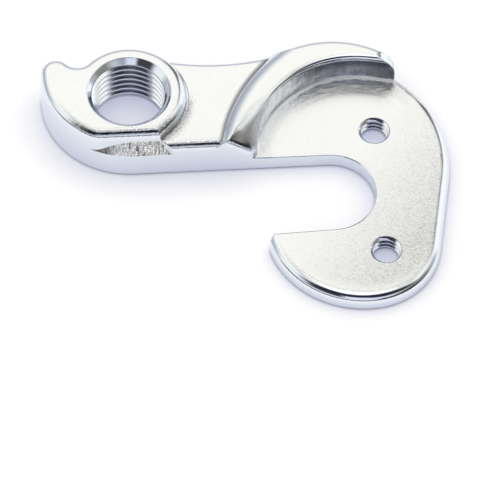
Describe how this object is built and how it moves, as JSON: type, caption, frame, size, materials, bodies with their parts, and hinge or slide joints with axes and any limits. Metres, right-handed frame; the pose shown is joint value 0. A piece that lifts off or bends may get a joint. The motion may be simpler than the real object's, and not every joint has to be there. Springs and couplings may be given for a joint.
{
  "type": "bicycle derailleur hanger",
  "caption": "Flat hook-shaped plate with an axle slot and screw holes, joined by a stepped web to a raised threaded boss that carries a bicycle's rear derailleur.",
  "frame": {"origin": "on the axis of the derailleur thread, at the flat back face", "axes": "+Z along the thread, out of the back face through the raised boss; +X along the straight front edge, from the boss towards the plate that is screwed to the frame"},
  "size_m": [0.0508, 0.0369, 0.0073],
  "materials": {
    "tumbled_aluminium": "bright tumbled satin"
  },
  "bodies": {
    "root": {"hanger": "tumbled_aluminium"}
  },
  "joints": []
}
